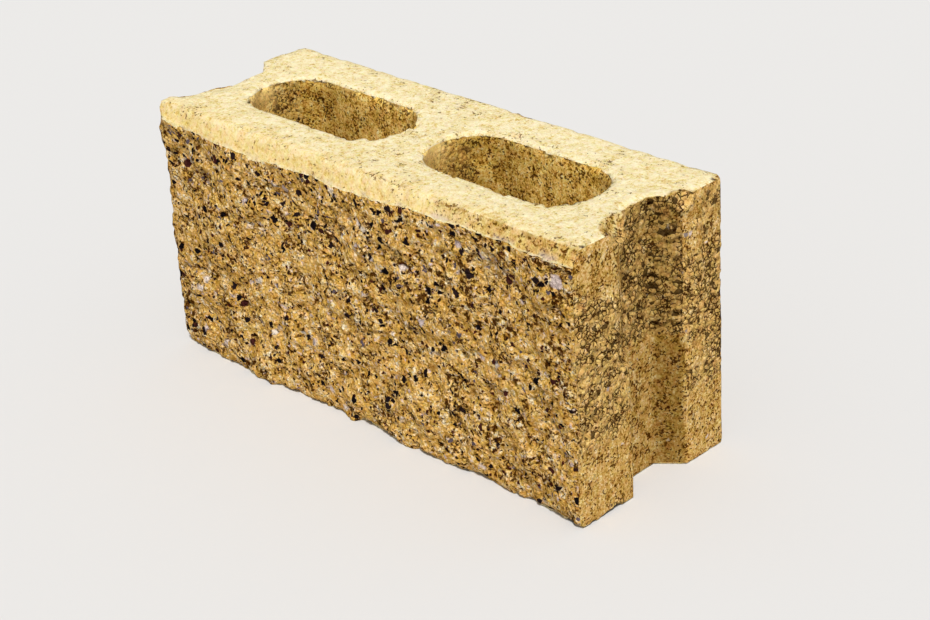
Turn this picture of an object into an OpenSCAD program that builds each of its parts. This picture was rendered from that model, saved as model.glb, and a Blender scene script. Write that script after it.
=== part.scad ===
/* [Block] */
// Length of the block, end to end
block_l = 390; // [330:1:450]
// Depth of the block, from its back to the proudest point of the split face
block_w = 140; // [125:1:200]
// Height of the block, from the bottom bed to the top bed
block_h = 188; // [90:1:250]
// Radius of the two upright corners at the back
back_corner_r = 4; // [1:0.5:10]

/* [Cores] */
// Width of a core at the top bed, from which its round ends follow
core_w = 62; // [40:1:66]
// How much a core narrows on each side on its way down to the bottom bed
core_draft = 2; // [0.5:0.5:5]
// Thickness of the web between the two cores at the top bed
centre_web = 34; // [20:1:50]
// Thickness of the wall between a core and the floor of the end groove at the top bed
end_wall = 26; // [18:1:40]
// Thickness of the shell between the cores and the back at the top bed
rear_shell = 37; // [24:1:42]

/* [End grooves] */
// Width of an end groove at its mouth
groove_mouth = 52; // [40:1:64]
// Width of the flat floor of an end groove
groove_floor = 24; // [15:1:36]
// Depth of an end groove
groove_d = 16; // [5:1:20]
// Distance from the back of the block to the middle of an end groove
groove_back = 63; // [50:1:70]

/* [Split face] */
// Depth of the relief of the split face, from its proudest point to its lowest
relief_d = 10.5; // [3:0.5:14]
// Length of the longest swell in the relief
swell_l = 150; // [80:5:250]
// Half the usual distance from one torn lump of the relief to the next
lump_l = 17; // [12:1:40]
// Half the usual distance from one torn ridge of the relief to the next
ridge_l = 11; // [8:1:30]
// Size of the facets that draw the relief
facet_l = 7; // [6:1:20]
// How far the bottom edge of the split face has broken back
edge_break = 3; // [1:0.5:8]
// Depth of the V-notch in the top bed that starts the split
notch_d = 10; // [4:0.5:15]
// Half width of the V-notch, which is how far its flank sets the top bed back
notch_half = 5; // [2:0.5:12]
// How far below the notch the split has wandered off to its full relief
wander_l = 30; // [10:1:60]

/* [Hidden] */
$fn = 96;

// How far a cutter reaches past the concrete it cuts
past = 6;

// The split face looks along -Y, and the origin is at the middle of the bottom bed
front_y = -block_w / 2;
back_y = block_w / 2;

// Cores and grooves are placed from the back, and the walls round a core set its length
core_y = back_y - rear_shell - core_w / 2;
groove_y = back_y - groove_back;
core_l = (block_l - centre_web) / 2 - groove_d - end_wall;
core_x = (core_l + centre_web) / 2;
core_span = core_l - core_w;

// Swells of the split face: each is shorter and lower than the one before, and turned by
// the golden angle, so that no two of them line up
swells = 6;
swell_shrink = 0.72;
swell_fade = 0.72;
golden_angle = 137.5;
phase_step = 101;
wander_least = 0.1;

// Hollows where lumps came away with the other half: place along the face, place up the face
// as a share of the height, radius and depth beside the swells
hollow_weight = 3.5;
hollows = [
    [75, 0.36, 40, 0.7], [-60, 0.62, 50, 0.5], [-140, 0.30, 34, 0.5], [110, 0.78, 40, 0.5],
    [-195, 0.84, 60, 1.2]
];

// Torn lumps and ridges have random heights on a square lattice: each height is the part after the
// decimal point of a large multiple of a sine, which has no order from one place to the next
lump_weight = 1.7;
ridge_weight = 0.85;
ridge_shift = 500;
scatter_turn = [127.1, 311.7];
scatter_factor = 43758.5453;

// Half of the swells are smooth waves, the others have sharp crests as torn concrete does
function swell(k, along) = k % 2 == 0 ? sin(along) : 1 - 2 * abs(sin(along / 2));

// Place of a point across the crests of swell k, as an angle
function swell_angle(k, x, z) =
    let (turn = k * golden_angle, wave = swell_l * pow(swell_shrink, k))
    360 * (x * cos(turn) + z * sin(turn)) / wave + k * phase_step;

// Sum of a list of numbers
function total(values) = values * [for (value = values) 1];

// All swells at one point of the face
function swell_sum(x, z) =
    total([for (k = [0 : swells - 1]) pow(swell_fade, k) * swell(k, swell_angle(k, x, z))]);

// All hollows at one point of the face, as rounded dips
function hollow_sum(x, z) =
    total([for (h = hollows)
        let (r = norm([x - h[0], z - h[1] * block_h]) / h[2])
        h[3] * exp(-r * r)]);

// Height at one lattice place, from -1 to 1
function scatter(i, j) =
    let (large = scatter_factor * sin([i, j] * scatter_turn))
    2 * (large - floor(large)) - 1;

// Heights of a lattice with that spacing, blended smoothly from one place to the next
function ease(t) = t * t * (3 - 2 * t);
function between(a, b, t) = a + (b - a) * ease(t);
function blended(x, z, spacing) =
    let (i = floor(x / spacing), j = floor(z / spacing), s = x / spacing - i, t = z / spacing - j)
    between(
        between(scatter(i, j), scatter(i + 1, j), s),
        between(scatter(i, j + 1), scatter(i + 1, j + 1), s),
        t
    );

// All lumps and sharp-crested ridges at one point of the face
function torn_height(x, z) =
    lump_weight * blended(x, z, lump_l)
    + ridge_weight * (1 - 2 * abs(blended(x + ridge_shift, z, ridge_l)));

// Lattice of the split face, which reaches past the block on all four sides
columns = ceil((block_l + 2 * past) / facet_l);
rows = ceil((block_h + 2 * past) / facet_l);
rim_rows = 3;
function column_x(i) = -block_l / 2 - past + i * (block_l + 2 * past) / columns;
function row_z(j) = -past + j * (block_h + 2 * past) / rows;

// Share of the relief at one height: the split starts close to the tip of the notch
function wander(z) = min(1, wander_least + max(0, block_h - notch_d - z) / wander_l);

// Raw relief on the lattice, and its range well inside the face, so that the finished relief
// is relief_d deep and its proudest point is on the block
raw_depth = [for (j = [0 : rows]) [for (i = [0 : columns])
    let (x = column_x(i), z = row_z(j))
    wander(z) * (hollow_weight * hollow_sum(x, z) - swell_sum(x, z) - torn_height(x, z))]];
inner_depth = [for (j = [rim_rows : rows - rim_rows]) for (i = [1 : columns - 1]) raw_depth[j][i]];
raw_low = min(inner_depth);
raw_high = max(inner_depth);
relief_scale = relief_d / (raw_high - raw_low);

// Plane in which the split starts, with the tip of the notch in it
split_y = front_y - relief_scale * raw_low;

// Extra setback of the broken bottom edge, which fades out two facets up
function broken_back(z) = edge_break * pow(max(0, 1 - max(0, z) / (2 * facet_l)), 2);

// Finished place of the split face at one lattice point
function split_face_y(i, j) =
    split_y + relief_scale * max(raw_low, min(raw_high, raw_depth[j][i])) + broken_back(row_z(j));

// Plan of a moulded blank: grooved ends and round back corners, with the front left long
module blank_plan() {
    groove_half = groove_mouth / 2;
    floor_half = groove_floor / 2;
    difference() {
        translate([-block_l / 2, front_y - past / 2])
            square([block_l, block_w + past / 2]);
        for (side = [-1, 1]) {
            translate([side * block_l / 2, groove_y])
                polygon([
                    [side * past, -groove_half],
                    [0, -groove_half],
                    [-side * groove_d, -floor_half],
                    [-side * groove_d, floor_half],
                    [0, groove_half],
                    [side * past, groove_half]
                ]);
            translate([side * (block_l / 2 - back_corner_r), back_y - back_corner_r])
                difference() {
                    translate([side > 0 ? 0 : -past - back_corner_r, 0])
                        square(back_corner_r + past);
                    circle(back_corner_r);
                }
        }
    }
}

// One core: round-ended, and narrower at the bottom bed so that the block left its mould
module core() {
    slope = core_draft / block_h;
    low_r = core_w / 2 - core_draft - slope * past;
    high_r = core_w / 2 + slope * past;
    for (side = [-1, 1])
        translate([side * core_span / 2, 0, -past])
            cylinder(h = block_h + 2 * past, r1 = low_r, r2 = high_r);
    rotate([90, 0, 90])
        linear_extrude(height = core_span, center = true)
            polygon([[-low_r, -past], [low_r, -past], [high_r, block_h + past], [-high_r, block_h + past]]);
}

// Flank of the V-notch along the top bed, which this block keeps as a bevel
module split_notch() {
    reach = relief_d + past;
    steep = notch_d / notch_half;
    translate([0, split_y, block_h])
        rotate([90, 0, 90])
            linear_extrude(height = block_l + 2 * past, center = true)
                polygon([
                    [-reach, -notch_d - steep * reach],
                    [notch_half + past / steep, past],
                    [-reach, past]
                ]);
}

// The other half of the casting, which the splitter broke away, with its torn face
module broken_away() {
    outer_y = front_y - 2 * past;
    stride = columns + 1;
    count = stride * (rows + 1);
    torn = [for (j = [0 : rows]) for (i = [0 : columns]) [column_x(i), split_face_y(i, j), row_z(j)]];
    rim = concat(
        [for (i = [0 : columns - 1]) i],
        [for (j = [0 : rows - 1]) j * stride + columns],
        [for (i = [columns : -1 : 1]) rows * stride + i],
        [for (j = [rows : -1 : 1]) j * stride]
    );
    outer_rim = [for (n = rim) [torn[n][0], outer_y, torn[n][2]]];
    middle = count + len(rim);
    torn_faces = [for (j = [0 : rows - 1]) for (i = [0 : columns - 1])
        let (a = j * stride + i, b = a + 1, c = b + stride, d = a + stride)
        each ((i + j) % 2 == 0 ? [[a, b, c], [a, c, d]] : [[a, b, d], [b, c, d]])];
    outer_faces = [for (n = [0 : len(rim) - 1])
        let (m = (n + 1) % len(rim), a = rim[n], b = rim[m], c = count + n, d = count + m)
        each [[a, c, b], [b, c, d], [c, middle, d]]];
    polyhedron(
        points = concat(torn, outer_rim, [[0, outer_y, block_h / 2]]),
        faces = concat(torn_faces, outer_faces)
    );
}

// The block: a moulded blank with its cores and notch, split along its front
module concrete_block() {
    color("#d9bf7c")
        difference() {
            linear_extrude(height = block_h)
                blank_plan();
            for (side = [-1, 1])
                translate([side * core_x, core_y, 0])
                    core();
            split_notch();
            broken_away();
        }
}

concrete_block();
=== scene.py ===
"""Looks of a yellow split-face hollow concrete block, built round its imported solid.

The block is one closed skin. Its walls, beds and core walls are grids of points in millimetres,
joined edge to edge, and every point is then moved along its own normal by the grain, the open
texture, the lost crumbs and the wear of the concrete at that place, and out of the chips.
"""
import math
from functools import partial
from types import SimpleNamespace

import bpy
import numpy as np
from mathutils import Matrix, Vector


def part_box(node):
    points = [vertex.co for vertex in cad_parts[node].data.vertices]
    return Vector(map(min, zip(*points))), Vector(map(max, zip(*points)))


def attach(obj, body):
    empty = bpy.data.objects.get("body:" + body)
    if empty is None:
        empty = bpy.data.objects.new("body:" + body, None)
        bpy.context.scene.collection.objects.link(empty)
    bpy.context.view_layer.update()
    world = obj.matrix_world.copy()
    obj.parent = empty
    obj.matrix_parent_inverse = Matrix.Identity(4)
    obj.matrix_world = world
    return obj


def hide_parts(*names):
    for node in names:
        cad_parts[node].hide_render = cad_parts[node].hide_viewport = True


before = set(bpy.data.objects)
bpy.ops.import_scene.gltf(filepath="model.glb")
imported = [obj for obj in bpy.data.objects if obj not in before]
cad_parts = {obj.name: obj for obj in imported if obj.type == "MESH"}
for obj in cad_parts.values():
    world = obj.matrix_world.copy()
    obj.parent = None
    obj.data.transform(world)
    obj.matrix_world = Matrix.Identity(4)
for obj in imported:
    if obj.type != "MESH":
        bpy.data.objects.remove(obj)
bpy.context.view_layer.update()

NODE = "concrete_block"
MM = 0.001

# Sizes of the block in millimetres: the outer ones from the frame, the others as in the part
LOW, HIGH = (np.array(corner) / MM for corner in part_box(NODE))
LENGTH, _, HEIGHT = HIGH - LOW
FRONT_Y, BACK_Y = LOW[1], HIGH[1]
END_X = HIGH[0]
CORE_W = 62.0
CORE_DRAFT = 2.0
CENTRE_WEB = 34.0
END_WALL = 26.0
REAR_SHELL = 37.0
GROOVE_MOUTH = 52.0
GROOVE_FLOOR = 24.0
GROOVE_D = 16.0
GROOVE_BACK = 63.0
BACK_CORNER_R = 4.0
CORE_Y = BACK_Y - REAR_SHELL - CORE_W / 2
CORE_L = (LENGTH - CENTRE_WEB) / 2 - GROOVE_D - END_WALL
CORE_X = (CORE_L + CENTRE_WEB) / 2
CORE_SPAN = CORE_L - CORE_W
GROOVE_Y = BACK_Y - GROOVE_BACK

# Relief of the split face, with the swells, hollows, lumps and ridges that the solid has. A hollow has
# its place along the face, its place up it as a share of the height, its radius and its depth
RELIEF_D = 10.5
SWELL_L = 150.0
SWELLS = 6
SWELL_SHRINK = 0.72
SWELL_FADE = 0.72
GOLDEN_ANGLE = 137.5
PHASE_STEP = 101.0
HOLLOWS = (
    (75, 0.36, 40, 0.7), (-60, 0.62, 50, 0.5), (-140, 0.30, 34, 0.5), (110, 0.78, 40, 0.5),
    (-195, 0.84, 60, 1.2),
)
HOLLOW_WEIGHT = 3.5
LUMP_L = 17.0
LUMP_WEIGHT = 1.7
RIDGE_L = 11.0
RIDGE_WEIGHT = 0.85
RIDGE_SHIFT = 500.0
SCATTER_TURN = (127.1, 311.7)
SCATTER_FACTOR = 43758.5453
EDGE_BREAK = 3.0
NOTCH_D = 10.0
NOTCH_HALF = 5.0
WANDER_L = 30.0
WANDER_LEAST = 0.1
FACET_L = 7.0
LATTICE_PAST = 6.0
LATTICE_RIM_ROWS = 3

# Heights over which the relief is averaged at the ends, and how far in from an end that reaches
END_MEAN_RISES = (-24, -12, 0, 12, 24)
END_MEAN_L = 26.0

# Lower edge of the bevel: how jagged it is and over what length, how far it hangs down on the left,
# and the stretch of the block along which it climbs from there to its full height
EDGE_JAG = 1.4
EDGE_JAG_L = 14.0
EDGE_DROP = 4.5
EDGE_CLIMB = (-20, 80)

# Spacing of the skin's points, and the width of the worn arris between two faces
FRONT_STEP = 1.4
RIGHT_STEP = 1.2
LEFT_STEP = 2.8
BACK_STEP = 5.0
CORE_STEP = 2.4
CORE_ROWS = 34
CORE_CROWDING = 1.5
ARRIS = 1.0
BEVEL_ROWS = 8
TOP_ROWS = 16
BOTTOM_ROWS = 4
WEB_POINTS = 48

# Gap to the next edge that stands for far away from all of them
FAR = 99.0

# Kinds of surface, and the material slot that each has
SPLIT, BEVEL, WALL, CORE, BED = range(5)
SLOT = np.array([0, 2, 1, 3, 2])

# Grain of the concrete: length of its broad swells, knobs, gritty patches and fine grit, size of its
# crumbs and lumps, how far these are warped and over what length, and the share of them that is lost
BROAD_L = 22.0
KNOB_L = 8.0
PATCH_L = 11.0
FINE_L = 2.8
CRUMB_SIZE = 4.6
LUMP_SIZE = 5.4
WARP_L = 4.0
WARP = 0.9
LOST_CRUMBS = 0.12
LOST_LUMPS = 0.1

# Height of that grain on the torn split face, and how far from an end it has faded in
CRUMB_RISE = 1.3
CRUMB_LOSS = 1.5
TORN_OUT = 0.8
TORN_BROAD = 0.7
TORN_KNOB = 1.2
TORN_FINE = 0.5
TORN_FADE_L = 10.0

# Height of the grain on a moulded wall, smooth or open, and how far from a back corner it has faded in
SMOOTH_BROAD = 0.3
SMOOTH_FINE = 0.12
OPEN_BROAD = 0.5
LUMP_RISE = 1.9
LUMP_SINK = 0.8
LUMP_LOSS = 2.2
CORNER_FADE = (1, 9)

# Height of the grain on a bed, smooth or gritty, and how far the top bed may rise
BED_BROAD = 0.25
BED_FINE = 0.1
GRIT_CRUMB = 0.5
GRIT_FINE = 0.2
GRIT_LOSS = 0.5
BED_PROUD = 0.4

# Band of the walls that was pressed least, as shares of the height: its middle and its half width,
# and the lengths of the large and middling patches that break it up
OPEN_BAND = 0.55
OPEN_BAND_HALF = 0.42
OPEN_LARGE_L = 40.0
OPEN_MIDDLING_L = 15.0

# Patches of the right end: place across it, place up it, reach across and up, and how much more open
# the concrete is there
END_PATCHES = (
    (-48, 172, 24, 14, -1.1), (-42, 12, 34, 34, -1.2), (-40, 108, 34, 46, 0.8),
    (50, 130, 26, 46, 0.8), (50, 60, 26, 34, 0.75), (54, 4, 22, 14, -0.6),
)

# Ledge in the right end groove: its height, how far it wanders up and down and over what length, how
# deep the concrete has crumbled away above it in the groove and at the groove's front and rear edge,
# how far from the edge that reaches and how far below the top it fades in, and the depth, the height
# above the ledge and the length of the voids there
LEDGE_Z = 95.0
LEDGE_WANDER = 5.0
LEDGE_WANDER_L = 11.0
GROOVE_WEAR = 2.2
FRONT_MOUTH_WEAR = 4.4
REAR_MOUTH_WEAR = 2.6
MOUTH_REACH = 7.0
WEAR_FADE = (4, 26)
VOID_D = 2.0
VOID_RISE = 5.0
VOID_L = 8.0

# Wear of the core rims and of all other edges: least, most beyond that, and reach from the edge, the
# length over which it varies, and how far from a core the bed still counts as its rim
CORE_WEAR = (0.6, 4.0, 3.6)
EDGE_WEAR = (0.5, 1.4, 2.6)
WEAR_L = 7.0
CORE_RIM_L = 12.0

# Places that are gritty, dusty, damp or given painted light or shade: reach of the grit from an edge of
# a bed and from the bevel, length of its large patches, its reach below the top on the bevel, reach of the
# dust along the notch and on the core rims and of the painted light down a core's left end, length over
# which the dust varies and length over which the painted shade in the cores varies, and reach of the damp
# on the bed from the bevel
GRIT_EDGE_REACH = 5.0
GRIT_FRONT_REACH = 7.0
GRIT_LARGE_L = 26.0
GRIT_BEVEL_REACH = 5.0
NOTCH_DUST_REACH = 2.2
RIM_DUST_REACH = 3.0
CORE_END_REACH = 16.0
DUST_L = 9.0
DAMP_L = 14.0
DAMP_FRONT_REACH = 9.0

# Line above which the split face shows more stones: where it starts and ends, how far it wanders and
# over what length, and how much it climbs to the right
STONE_LINE = (120, 175)
STONE_WANDER = 12.0
STONE_WANDER_L = 30.0
STONE_CLIMB = 0.06

# Chips and worn places: centre and radius of the ball that would bite each of them out, and how
# gritty the concrete is there
BITES = (
    ((-205, -75, 178), 18, 1.0),     # upper left corner of the split face
    ((200, -17, 197), 21, 1.0),      # top of the right end, where the front lug meets the groove
    ((199, 31, 187), 11, 1.0),       # top of the rear flank of the same groove
    ((206, 81, 199), 22, 1.0),       # top of the right back corner
    ((-205, -20, 270.5), 90, 0.0),   # top of the left front lug, worn down
    ((197, -36, -4), 8, 1.0),        # bottom of the right front lug
    ((30, 74, 191), 7, 1.0),         # top of the back
    ((52, 35, 195), 10, 0.5),        # rear rim of the right core
    ((84, 36, 194), 9, 0.5),         # the same, further right
)

# Length of the roughness in a chip, and how far outside the chip its grit fades out
BITE_ROUGH_L = 7.0
BITE_GRIT = (1.0, 5.0)

# Patches of the top bed that are gritty: place along it, place across it and reach
GRITTY = (
    (-6, 2, 9), (14, -1, 8), (113, 42, 10), (124, 43, 8), (-57, 61, 8), (160, 6, 12), (165, -22, 10),
)

# Stones of the split face that catch the eye: place along it, place up it and radius
DARK_STONES = (
    ((-34.7, 0, 139.8), 3.6), ((36.1, 0, 151.6), 2.9), ((22.2, 0, 135.7), 2.4), ((30.1, 0, 115.5), 2.7),
    ((31.4, 0, 77.1), 2.8), ((78.9, 0, 132.0), 2.5), ((98.3, 0, 172.9), 2.6),
)
RED_STONES = (((-169.3, 0, 147.9), 3.4), ((-130.0, 0, 163.0), 3.6))
PALE_STONES = (((184.0, 0, 167.0), 5.0), ((-62.0, 0, 158.0), 3.4), ((101.0, 0, 166.0), 3.2))

# Dark stones at the edge of the top bed: place along it, place across it and radius
EDGE_STONES = (((194.5, -55, 0), 2.6), ((194.5, -34, 0), 2.4), ((194, 63, 0), 2.0))

# Tones of the paste from dark to pale, on the walls and in the cores. The cores' tones are paler:
# painted light that makes up for the shade inside the cores
WALL_TONES = ("#6A4610", "#B0843C", "#CEA45A", "#E2C080", "#F4DEB0")
CORE_LIT_TONES = ("#6A4404", "#C4943A", "#F0C262", "#FFE08A", "#FFF4BC")

# Studio: half width of the floor in metres, sky, and a sun with its width in degrees
FLOOR_REACH = 12.0
SKY_COLOUR = "#F4F6FA"
SKY_STRENGTH = 0.42
SUN_STRENGTH = 3.4
SUN_WIDTH = 8.0
SUN_DIRECTION = (-0.43, 0.41, -0.80)

# Camera: its place and aim in metres, its roll in degrees, and its lens and sensor in millimetres
EYE = (0.9213, -0.8383, 0.6972)
AIM = (0.0253, 0.0076, 0.0669)
ROLL = -3.88
LENS = 80.2
SENSOR = 36.0
VIEW_REACH = 100.0


# Noise

def lattice_random(cell, seed):
    """One number from 0 to 1 for each whole-numbered cell: its three coordinates are multiplied by
    large primes, mixed bit by bit with the seed and scrambled twice."""
    c = cell.astype(np.int64).astype(np.uint32)
    h = c[..., 0] * np.uint32(73856093) ^ c[..., 1] * np.uint32(19349663) ^ c[..., 2] * np.uint32(83492791)
    h = h ^ np.array([seed * 668265263 & 0xFFFFFFFF], np.uint32)
    for shift, factor in ((15, 2246822519), (13, 3266489917)):
        h = (h ^ (h >> np.uint32(shift))) * np.uint32(factor)
    h = h ^ (h >> np.uint32(16))
    return (h & np.uint32(0xFFFFFF)) / float(1 << 24)


def s_curve(t):
    """3t^2 - 2t^3, which climbs from 0 to 1 with level ends."""
    return t * t * (3 - 2 * t)


def value_noise(points, size, seed):
    """Smooth noise from -1 to 1: random values at the corners of cubes of that size, blended
    across each cube."""
    scaled = points / size
    base = np.floor(scaled)
    t = s_curve(scaled - base)
    total = np.zeros(len(points))
    for corner in np.ndindex(2, 2, 2):
        weight = np.prod(np.where(corner, t, 1 - t), axis=1)
        total += weight * lattice_random(base + corner, seed)
    return 2 * total - 1


def fractal(points, size, octaves, seed):
    """Sum of value noises, each half as large and half as strong as the one before."""
    return sum(0.5 ** k * value_noise(points, size * 0.5 ** k, seed + k) for k in range(octaves))


def grains(points, size, seed):
    """Packed grains: each cube of that size holds one centre at random. Returns the distance to
    the nearest and to the next centre, as shares of the size, and the nearest one's own number."""
    scaled = points / size
    base = np.floor(scaled)
    nearest = np.full(len(points), 9.0)
    second = np.full(len(points), 9.0)
    number = np.zeros(len(points))
    for offset in np.ndindex(3, 3, 3):
        cell = base + offset - 1
        centre = cell + np.stack([lattice_random(cell, seed + k) for k in range(3)], axis=1)
        gap = np.linalg.norm(scaled - centre, axis=1)
        closer = gap < nearest
        second = np.minimum(second, np.where(closer, nearest, gap))
        number = np.where(closer, lattice_random(cell, seed + 3), number)
        nearest = np.where(closer, gap, nearest)
    return nearest, second, number


def ease(value, low, high):
    """0 below low, 1 above high and a smooth climb between them."""
    return s_curve(np.clip((value - low) / (high - low), 0, 1))


def near(gap, reach):
    """1 where there is no gap, falling off on both sides as exp(-(gap / reach)^2)."""
    return np.exp(-((gap / reach) ** 2))


# Split face

def blended(x, z, spacing):
    """Heights from -1 to 1 on a square lattice with that spacing, each the decimals of a large
    multiple of a sine, blended across each square."""
    i, j = np.floor(x / spacing), np.floor(z / spacing)
    s, t = s_curve(x / spacing - i), s_curve(z / spacing - j)
    total = np.zeros_like(s)
    for right, up in np.ndindex(2, 2):
        turn = (i + right) * SCATTER_TURN[0] + (j + up) * SCATTER_TURN[1]
        large = SCATTER_FACTOR * np.sin(np.radians(turn))
        total += np.abs(1 - right - s) * np.abs(1 - up - t) * (large - np.floor(large))
    return 2 * total - 1


def raw_relief(x, z):
    """Sum of waves that shrink and turn by the golden angle, every second one with sharp crests,
    and of torn lumps and ridges, less rounded hollows, held back near the notch where the split began."""
    k = np.arange(SWELLS)
    turn = np.radians(k * GOLDEN_ANGLE)
    wave = SWELL_L * SWELL_SHRINK ** k
    across = x[..., None] * np.cos(turn) + z[..., None] * np.sin(turn)
    angle = 2 * np.pi * across / wave + np.radians(k * PHASE_STEP)
    swell = np.where(k % 2 == 0, np.sin(angle), 1 - 2 * np.abs(np.sin(angle / 2)))
    swell_sum = (SWELL_FADE ** k * swell).sum(axis=-1)
    hollow_sum = sum(
        depth * np.exp(-((x - along) ** 2 + (z - up * HEIGHT) ** 2) / radius ** 2)
        for along, up, radius, depth in HOLLOWS
    )
    wander = np.minimum(1, WANDER_LEAST + np.maximum(0, HEIGHT - NOTCH_D - z) / WANDER_L)
    ridges = 1 - 2 * np.abs(blended(x + RIDGE_SHIFT, z, RIDGE_L))
    torn_height = LUMP_WEIGHT * blended(x, z, LUMP_L) + RIDGE_WEIGHT * ridges
    return wander * (HOLLOW_WEIGHT * hollow_sum - swell_sum - torn_height)


def lattice_range():
    """Lowest and highest raw relief on the lattice that draws the solid's split face."""
    columns = math.ceil((LENGTH + 2 * LATTICE_PAST) / FACET_L)
    rows = math.ceil((HEIGHT + 2 * LATTICE_PAST) / FACET_L)
    x = np.linspace(-END_X - LATTICE_PAST, END_X + LATTICE_PAST, columns + 1)[1:-1]
    z = np.linspace(-LATTICE_PAST, HEIGHT + LATTICE_PAST, rows + 1)[LATTICE_RIM_ROWS:-LATTICE_RIM_ROWS]
    raw = raw_relief(*np.meshgrid(x, z))
    return raw.min(), raw.max()


RAW_LOW, RAW_HIGH = lattice_range()
RELIEF_SCALE = RELIEF_D / (RAW_HIGH - RAW_LOW)
SPLIT_Y = FRONT_Y - RELIEF_SCALE * RAW_LOW
BEVEL_TOP_Y = SPLIT_Y + NOTCH_HALF
BEVEL_STEEP = NOTCH_D / NOTCH_HALF


def split_y(x, z):
    """Where the split face lies: its plane, the relief on it and the broken bottom edge. Towards
    the two ends the relief turns into its mean over a few heights, so its end edges run straight."""
    raw = raw_relief(x, z)
    even = np.mean([raw_relief(x, z + rise) for rise in END_MEAN_RISES], axis=0)
    raw = even + ease(END_X - np.abs(x), 0, END_MEAN_L) * (raw - even)
    relief = RELIEF_SCALE * np.clip(raw, RAW_LOW, RAW_HIGH)
    broken = EDGE_BREAK * np.maximum(0, 1 - np.maximum(0, z) / (2 * FACET_L)) ** 2
    return SPLIT_Y + relief + broken


def edge_drop(x):
    """How far the bevel's lower edge hangs down: fully on the left, and not at all past its climb."""
    return EDGE_DROP * (1 - ease(x, *EDGE_CLIMB))


# Skin

class Skin:
    """Collects the points and faces of the block, with what the concrete is at each."""

    def __init__(self):
        self.points, self.edge_gap, self.kind = [], [], []
        self.triangles, self.quads = [], []
        self.count = 0

    def add(self, points, edge_gap, kind):
        """Stores a grid of points (rows by columns by 3) and returns their numbers as a grid."""
        grid = np.arange(points[..., 0].size).reshape(points.shape[:-1]) + self.count
        self.count += grid.size
        self.points.append(points.reshape(-1, 3))
        self.edge_gap.append(np.broadcast_to(edge_gap, grid.shape).ravel())
        self.kind.append(np.full(grid.size, kind))
        return grid

    def weave(self, grid, kind):
        """Quads between neighbouring rows and columns of a grid of point numbers."""
        quads = np.stack([grid[:-1, :-1], grid[:-1, 1:], grid[1:, 1:], grid[1:, :-1]], axis=-1)
        self.quads.append((quads.reshape(-1, 4), kind))

    def weave_round(self, grid, kind):
        """Quads of a grid whose last column meets its first."""
        self.weave(np.concatenate([grid, grid[:, :1]], axis=1), kind)

    def zip(self, lower, upper, lower_at, upper_at, kind):
        """Triangles between two rows of points with different spacing. Each row says how far along
        its points are. Taken in that order, every step along one row makes one triangle with the
        point that the other row has reached."""
        order = np.argsort(np.concatenate([lower_at[1:], upper_at[1:]]), kind="stable")
        on_lower = order < len(lower) - 1
        i = np.cumsum(on_lower) - on_lower
        j = np.cumsum(~on_lower) - ~on_lower
        third = np.where(on_lower, lower[np.minimum(i + 1, len(lower) - 1)],
                         upper[np.minimum(j + 1, len(upper) - 1)])
        self.triangles.append((np.stack([lower[i], third, upper[j]], axis=-1), kind))


def steps(length, step):
    """Number of points that divide a length into about such steps."""
    return max(2, round(length / step) + 1)


def run_along(points):
    """Length of a row of points up to each one."""
    return np.concatenate([[0], np.cumsum(np.linalg.norm(np.diff(points, axis=0), axis=1))])


def shares(points):
    """How far along a row of points each one is, from 0 to 1."""
    run = run_along(points)
    return run / run[-1]


def front_grid():
    """Front of the block. A column climbs the split face from the bottom arris to where the split
    meets the flank of the notch, along a jagged line that hangs lower on the left, and then climbs
    that flank."""
    half = math.ceil((END_X - ARRIS) / FRONT_STEP)
    x = np.linspace(-END_X + ARRIS, END_X - ARRIS, 2 * half + 1)
    rows = steps(HEIGHT - NOTCH_D, FRONT_STEP)
    tip_z = HEIGHT - NOTCH_D
    edge_z = tip_z + BEVEL_STEEP * (split_y(x, np.full_like(x, tip_z)) - SPLIT_Y)
    line = np.stack([x, 0 * x, 0 * x], axis=-1)
    edge_z = edge_z + EDGE_JAG * fractal(line, EDGE_JAG_L, octaves=3, seed=95) - edge_drop(x)
    z = ARRIS + np.linspace(0, 1, rows)[:, None] * (edge_z - ARRIS)
    face = np.stack([np.broadcast_to(x, z.shape), split_y(np.broadcast_to(x, z.shape), z), z], axis=-1)
    climb = np.linspace(0, 1, BEVEL_ROWS + 1)[1:, None, None]
    top = np.stack([x, np.full_like(x, BEVEL_TOP_Y), np.full_like(x, HEIGHT)], axis=-1)
    bevel = face[-1] + climb * (1 - ARRIS / NOTCH_D) * (top - face[-1])
    return face, bevel


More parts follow.
